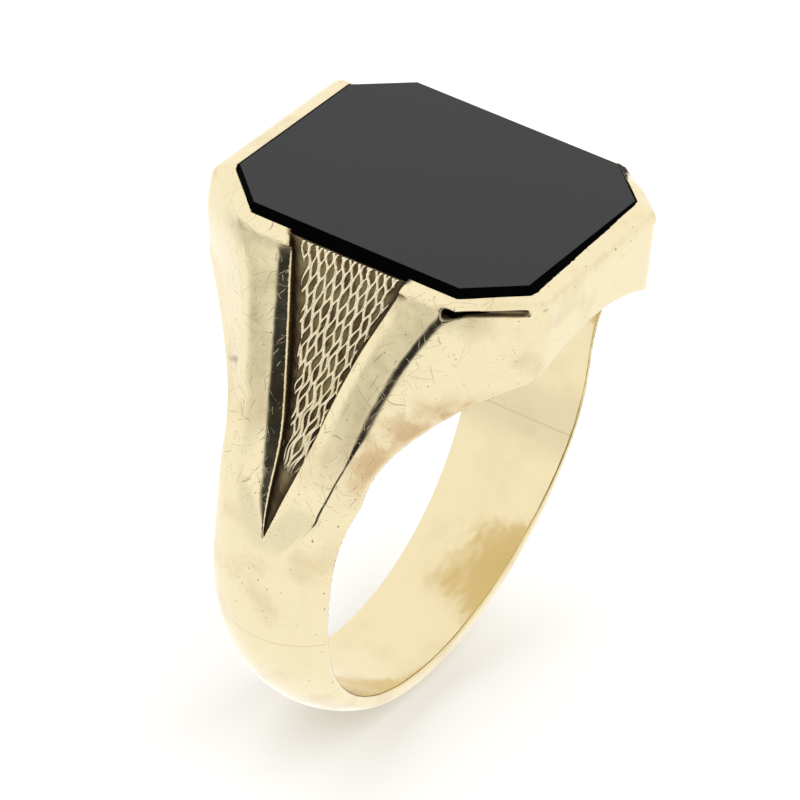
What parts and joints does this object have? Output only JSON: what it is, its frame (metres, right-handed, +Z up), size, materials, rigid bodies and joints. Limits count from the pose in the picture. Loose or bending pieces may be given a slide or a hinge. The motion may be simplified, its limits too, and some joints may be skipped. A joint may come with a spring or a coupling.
{
  "type": "signet ring",
  "caption": "Gentleman's gold signet ring with a cut-corner black onyx tablet in a rubbed-over bezel, patterned V panels on the shoulders and a domed shank.",
  "frame": {"origin": "centre of the finger hole, midway along the finger", "axes": "+Y along the finger, X across the finger through the shoulders, +Z up through the middle of the stone"},
  "size_m": [0.0214, 0.0148, 0.023],
  "materials": {
    "gold": "worn polished 9 carat yellow gold",
    "patterned_gold": "wavy wirework relief with brown patina in the hollows",
    "onyx": "polished black onyx",
    "cement": "dull setter's cement"
  },
  "bodies": {
    "root": {"head": "gold", "shank": "gold", "shoulder_panel_left": "patterned_gold", "shoulder_panel_right": "patterned_gold", "onyx_stone": "onyx", "stone_cement": "cement"}
  },
  "joints": []
}
